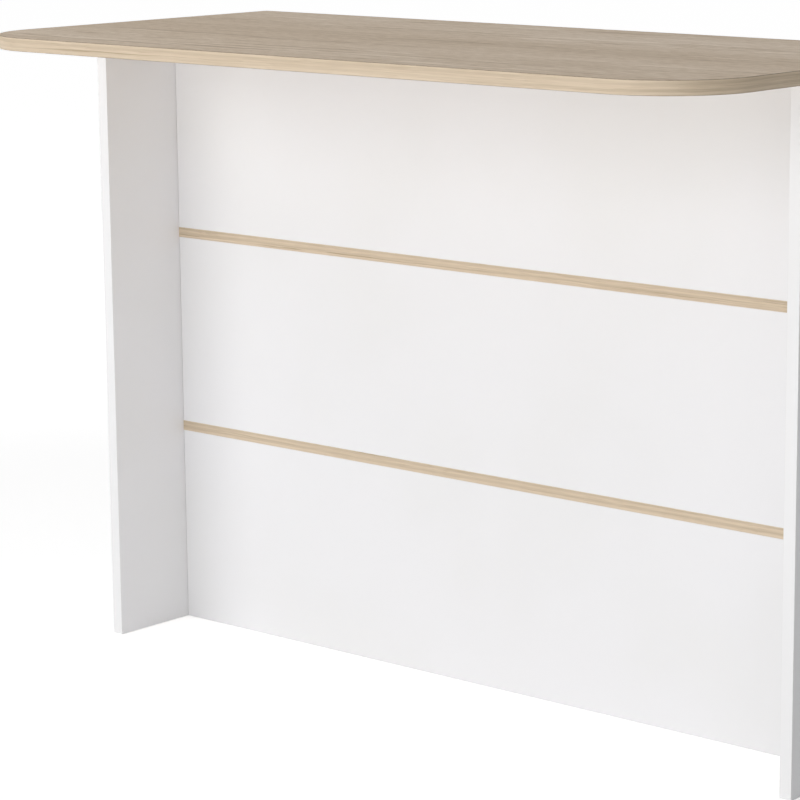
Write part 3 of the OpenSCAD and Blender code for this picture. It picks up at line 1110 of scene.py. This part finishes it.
@dataclass
class Wall:
    """The recessed wall of three infill panels, whose upright ends leave a thin joint at the side panels."""

    chamfer: float = 0.1 * MM
    joint: float = 1.4 * MM
    joint_depth: float = 3.0 * MM
    segments: int = 2
    flat_angle: float = math.radians(1)
    least_slant: float = 0.05
    most_slant: float = 0.99
    weight: str = "bevel_weight_edge"

    def build(self) -> Iterator[Piece]:
        """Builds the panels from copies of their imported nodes, so that they keep their bores.

        Returns:
            Each panel in turn.
        """
        for level in Level:
            yield self.panel(f"{level.value}_infill_panel")

    def panel(self, node: str) -> Piece:
        """Copies a panel, chamfers its long front arrises and eases its front ends into a deeper joint.

        Args:
            node: Name of the panel's node.

        Returns:
            The mounted panel.
        """
        low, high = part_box(node)
        back = low.y + self.joint_depth
        piece = copy_of(node, f"{node}_eased")
        edit(piece)
        merge()
        bpy.ops.mesh.dissolve_limited(angle_limit=self.flat_angle)
        self.weigh(piece, low.y)
        modify(piece, "BEVEL", limit_method="WEIGHT", width=self.joint, segments=self.segments,
               use_clamp_overlap=False)
        piece.data.attributes.remove(piece.data.attributes[self.weight])
        edit(piece)
        pick(Part.VERTEX, lambda corner: abs(corner.co.x) > high.x - TOUCH
             and TOUCH < corner.co.y - low.y < self.joint + TOUCH)
        bpy.ops.transform.resize(value=(1.0, 0.0, 1.0), center_override=(0.0, back, 0.0))
        mask_faces(piece, lambda face: face.center.y < back
                   and self.least_slant < -face.normal.y < self.most_slant)
        return mount(piece, node, WHITE_BOARD)

    def weigh(self, piece: Piece, front: float) -> None:
        """Gives each front arris of a panel its share of the bevel's width.

        Args:
            piece: The panel.
            front: Y of its front face.
        """
        take(piece)
        corners = piece.data.vertices
        weights = piece.data.attributes.new(self.weight, "FLOAT", "EDGE")
        for edge in piece.data.edges:
            first, second = (corners[index].co for index in edge.vertices)
            if max(first.y, second.y) < front + TOUCH:
                level = abs(first.z - second.z) < TOUCH
                weights.data[edge.index].value = self.chamfer / self.joint if level else 1.0


class Carcass:
    """The white boards behind the wall, with their edge bands on the kitchen side."""

    def build(self) -> Iterator[Piece]:
        """Dresses the boards and builds their bands.

        Returns:
            Each piece in turn.
        """
        for node in ("bottom_board", "front_top_rail", "rear_top_rail"):
            yield dress(node, WHITE_BOARD)
        for node in ("bottom_board_band", "rear_top_rail_band"):
            yield self.band(node, Run.WIDTH)
        for level in Level:
            yield dress(f"{level.value}_divider", WHITE_BOARD)
            yield self.band(f"{level.value}_divider_band", Run.HEIGHT)

    def band(self, node: str, run: Run) -> Piece:
        """Builds the band of a node, which runs along an axis on the kitchen side."""
        return EdgeBand(node, run, Facing.KITCHEN, WHITE_BAND).build()


@dataclass
class CoverCaps:
    """Moulded cover caps over the cam locks in boards of one colour, with a rounded rim and a dish."""

    node: str
    finish: Finish
    radius: float = 8.5 * MM
    thickness: float = 1.0 * MM
    rounding: float = 0.4 * MM
    segments: int = 3
    rim: float = 1.8 * MM
    slope: float = 0.5 * MM
    dish: float = 0.25 * MM
    peg_radius: float = 2.4 * MM
    peg_length: float = 2.0 * MM
    steps: int = 48
    smooth_angle: float = math.radians(40)

    def build(self) -> Piece:
        """Models one cap and lays it over each of the node's caps.

        Returns:
            The mounted caps.
        """
        places = [self.seat(low, high) for low, high in boxes_of(self.node)]
        caps = lay_copies(self.cap(), places, f"{self.node}_moulded")
        shade(caps, self.smooth_angle)
        return mount(caps, self.node, self.finish)

    def cap(self) -> Piece:
        """Models a cap with its underside on Z = 0, its rounded rim and its dish above and its peg below.

        Returns:
            The cap at the origin.
        """
        cap = disc("cap", self.radius, self.thickness, self.steps)
        edit(cap)
        pick_level(Part.EDGE, self.thickness)
        bevel(self.rounding, self.segments)
        pick_level(Part.FACE, self.thickness)
        bpy.ops.mesh.inset(thickness=self.rim - self.rounding)
        bpy.ops.mesh.inset(thickness=self.slope, depth=-self.dish)
        pick_level(Part.FACE, 0.0)
        bpy.ops.mesh.inset(thickness=self.radius - self.peg_radius)
        draw_out(z=-self.peg_length)
        return cap

    def seat(self, low: Vector, high: Vector) -> Matrix:
        """Works out where a cap lies and which way it faces from the box of its solid.

        A cap on the wall faces the kitchen, a cap on a side panel faces the middle of the island, and a cap
        on a shelf faces down. Its solid is deeper than its disc by the length of its peg.

        Args:
            low: Lowest corner of the solid.
            high: Highest corner of the solid.

        Returns:
            The cap's place and turn.
        """
        middle = (low + high) / 2
        depths = high - low
        axis = min(range(3), key=lambda index: depths[index])
        outward = Vector((0.0, 0.0, 0.0))
        outward[axis] = (-math.copysign(1.0, middle.x), 1.0, -1.0)[axis]
        face = high[axis] if outward[axis] > 0 else low[axis]
        middle[axis] = face - outward[axis] * self.thickness
        return Matrix.Translation(middle) @ outward.to_track_quat("Z", "Y").to_matrix().to_4x4()


@dataclass
class WorktopScrews:
    """Pan-headed screws that hold the worktop from below, each with a driver's cross in its head."""

    node: str = "worktop_screws"
    head_radius: float = 4.0 * MM
    head_height: float = 2.6 * MM
    head_rounding: float = 1.5 * MM
    head_segments: int = 5
    shank_radius: float = 2.0 * MM
    tip: float = 2.5 * MM
    tip_share: float = 0.3
    cross_width: float = 4.2 * MM
    cross_arm: float = 0.9 * MM
    cross_depth: float = 1.3 * MM
    steps: int = 32
    smooth_angle: float = math.radians(35)

    def build(self) -> Piece:
        """Models one screw and lays it at each of the node's screws.

        Returns:
            The mounted screws.
        """
        boxes = boxes_of(self.node)
        low, high = boxes[0]
        screw = self.screw(high.z - low.z - self.head_height)
        places = []
        for low, high in boxes:
            middle = (low + high) / 2
            places.append(Matrix.Translation((middle.x, middle.y, low.z)))
        screws = lay_copies(screw, places, f"{self.node}_domed")
        shade(screws, self.smooth_angle)
        return mount(screws, self.node, PLATED_STEEL)

    def screw(self, length: float) -> Piece:
        """Models a screw that stands on its head, which has a driver's cross cut into it.

        Args:
            length: Length of the shank.

        Returns:
            The screw, with the outer face of its head on Z = 0.
        """
        screw = disc("screw", self.head_radius, self.head_height, self.steps)
        edit(screw)
        pick_level(Part.EDGE, 0.0)
        bevel(self.head_rounding, self.head_segments)
        pick_level(Part.FACE, self.head_height)
        bpy.ops.mesh.inset(thickness=self.head_radius - self.shank_radius)
        draw_out(z=length - self.tip)
        draw_out(z=self.tip)
        bpy.ops.transform.resize(value=(self.tip_share, self.tip_share, 1.0),
                                 center_override=(0.0, 0.0, self.head_height + length))
        for wide, deep in ((self.cross_width, self.cross_arm), (self.cross_arm, self.cross_width)):
            size = Vector((wide, deep, 2 * self.cross_depth))
            cutter = cube("cutter", -size / 2, size / 2)
            modify(screw, "BOOLEAN", operation="DIFFERENCE", solver="EXACT", object=cutter)
            bpy.data.meshes.remove(cutter.data)
        return screw


class Fittings:
    """Cam locks, bolts, dowels, screws and cover caps."""

    def build(self) -> Iterator[Piece]:
        """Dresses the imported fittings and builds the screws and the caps.

        Returns:
            Each piece in turn.
        """
        for finish, nodes in ((CAST_ZINC, ("board_cam_locks", "infill_cam_locks", "worktop_cam_locks")),
                              (PLATED_STEEL, ("side_cam_bolts", "worktop_cam_bolts")),
                              (BEECH_DOWEL, ("side_dowels",)),
                              (UPRIGHT_DOWEL, ("infill_dowels", "divider_dowels", "worktop_dowels"))):
            for node in nodes:
                yield dress(node, finish)
        yield WorktopScrews().build()
        yield CoverCaps("white_cam_caps", WHITE_MOULDING).build()
        yield CoverCaps("oak_cam_caps", BEIGE_MOULDING).build()


def aimed(place: Triple, yaw: float, fall: float) -> Matrix:
    """Returns the matrix that turns a camera or a lamp at a place from +Y by a yaw and down by a fall."""
    turn = Matrix.Rotation(yaw, 4, "Z") @ Matrix.Rotation(QUARTER_TURN - fall, 4, "X")
    return Matrix.Translation(place) @ turn


def add_to_scene(name: str, data: bpy.types.ID, place: Matrix) -> Piece:
    """Adds a camera or a lamp to the scene.

    Args:
        name: Name of the object.
        data: The camera's or the lamp's data.
        place: Its place and turn.

    Returns:
        The object.
    """
    thing = bpy.data.objects.new(name, data)
    bpy.context.scene.collection.objects.link(thing)
    thing.matrix_world = place
    return thing


@dataclass
class PhotoCamera:
    """A camera at the photograph's place, solved from the island's straight edges."""

    place: Triple = (2.5504, -2.9758, 1.2018)
    yaw: float = 0.6973
    pitch: float = 0.1972
    roll: float = -0.0041
    focal_px: float = 2965.0
    image_px: float = 800.0
    centre_px: float = 480.0
    sensor_mm: float = 36.0

    def build(self) -> None:
        """Adds the camera and makes it the scene's own."""
        data = bpy.data.cameras.new("photo_camera")
        data.sensor_width = self.sensor_mm
        data.lens = self.focal_px / self.image_px * self.sensor_mm
        data.shift_x = (self.image_px / 2 - self.centre_px) / self.image_px
        place = aimed(self.place, self.yaw, self.pitch) @ Matrix.Rotation(self.roll, 4, "Z")
        bpy.context.scene.camera = add_to_scene("photo_camera", data, place)


@dataclass(frozen=True)
class Softbox:
    """A large rectangular lamp with even light, turned to a point at its height above the origin.

    The azimuth is 0 in front of the seating side and grows towards the right end. The elevation is 0 for an
    upright lamp at that height, and both are in degrees.
    """

    name: str
    azimuth: float
    height: float
    width: float
    tall: float
    watts: float
    distance: float = 4.4
    elevation: float = 0.0

    def build(self) -> None:
        """Adds the lamp, unseen by the camera."""
        data = bpy.data.lights.new(self.name, "AREA")
        data.shape = "RECTANGLE"
        data.size = self.width
        data.size_y = self.tall
        data.energy = self.watts
        aim = aimed((0.0, 0.0, self.height), math.radians(self.azimuth), math.radians(self.elevation))
        lamp = add_to_scene(self.name, data, aim @ Matrix.Translation((0.0, 0.0, self.distance)))
        lamp.visible_camera = False


@dataclass
class Studio:
    """Plain soft light, a pale floor and a white surround."""

    ambient: float = 0.355
    white: float = 1.0
    floor_size: float = 60.0
    floor_height: float = -0.2 * MM
    floor_colour: Colour = srgb(248, 248, 248)
    floor_roughness: float = 0.9
    near_fill: float = 0.45
    far_fill: float = 0.66
    far_reach: float = 4.0
    lamps: tuple[Softbox, ...] = (
        Softbox("left_low_softbox", azimuth=-30.0, height=0.66, width=3.2, tall=1.3, watts=15.5),
        Softbox("left_high_softbox", azimuth=-30.0, height=2.05, width=3.2, tall=1.5, watts=52.5),
        Softbox("right_low_softbox", azimuth=14.0, height=0.3, width=2.0, tall=0.56, watts=46.5),
        Softbox("right_side_softbox", azimuth=50.0, height=0.45, width=1.6, tall=0.88, watts=11.5),
        Softbox("overhead_softbox", azimuth=-30.0, height=0.9, width=2.0, tall=1.4, watts=8.5, distance=3.0,
                elevation=50.0),
        Softbox("kitchen_softbox", azimuth=196.0, height=0.45, width=3.4, tall=0.88, watts=85.0),
    )

    def build(self) -> None:
        """Builds the surround, the floor and the lamps, and sets how colours are shown."""
        self.surround()
        self.floor()
        for lamp in self.lamps:
            lamp.build()
        bpy.context.scene.view_settings.view_transform = "Standard"

    def seen_rays(self, sheet: Sheet) -> Feed:
        """Masks the rays that show the surround: camera, glossy and transmission rays.

        Args:
            sheet: The node tree that takes the mask.

        Returns:
            1 for those rays and 0 for the light on the island.
        """
        path = sheet.add("ShaderNodeLightPath").outputs
        seen = sheet.math("MAXIMUM", path["Is Camera Ray"], path["Is Glossy Ray"])
        return sheet.math("MAXIMUM", seen, path["Is Transmission Ray"])

    def surround(self) -> None:
        """Sets a white surround that lights the island evenly from all sides."""
        world = bpy.data.worlds.new("studio")
        sheet = Sheet.blank(world)
        extra = sheet.math("MULTIPLY", self.seen_rays(sheet), self.white - self.ambient)
        strength = sheet.math("ADD", extra, self.ambient)
        light = sheet.add("ShaderNodeBackground", {"Color": srgb(255, 255, 255), "Strength": strength})
        sheet.add("ShaderNodeOutputWorld", {"Surface": light.outputs[0]})
        bpy.context.scene.world = world

    def floor(self) -> None:
        """Adds the pale floor, which keeps the island's shadow and turns plain white farther out."""
        plane = new_piece("studio_floor", bpy.ops.mesh.primitive_plane_add, size=self.floor_size,
                          location=(0.0, 0.0, self.floor_height))
        material = bpy.data.materials.new("studio floor")
        sheet = Sheet.blank(material)
        surface = sheet.add("ShaderNodeBsdfPrincipled", {
            "Base Color": self.floor_colour, "Roughness": self.floor_roughness, "Specular IOR Level": 0.0})
        reach = sheet.vector("DIVIDE", sheet.place(), (self.far_reach, self.far_reach, self.far_reach))
        nearness = sheet.add("ShaderNodeTexGradient", {"Vector": reach}, gradient_type="SPHERICAL").outputs[1]
        level = sheet.remap(nearness, low=0.2, high=0.6, to_low=self.far_fill, to_high=self.near_fill)
        fill = sheet.math("MULTIPLY", self.seen_rays(sheet), level)
        glow = sheet.add("ShaderNodeEmission", {"Strength": fill})
        both = sheet.add("ShaderNodeAddShader", {0: surface.outputs[0], 1: glow.outputs[0]})
        sheet.add("ShaderNodeOutputMaterial", {"Surface": both.outputs[0]})
        plane.data.materials.append(material)


def main() -> None:
    """Builds the camera, the studio and the island, and reports each piece."""
    logging.basicConfig(level=logging.INFO, format="%(name)s: %(message)s")
    PhotoCamera().build()
    Studio().build()
    assemblies = (Worktop(), SidePanel(Side.LEFT), SidePanel(Side.RIGHT), Wall(), Shelf(Level.LOWER, 1),
                  Shelf(Level.UPPER, 2), Carcass(), Fittings())
    for assembly in assemblies:
        for piece in assembly.build():
            LOG.info("%s: %s, %d faces", type(assembly).__name__, piece.name, len(piece.data.polygons))
    clear()


if __name__ == "__main__":
    main()
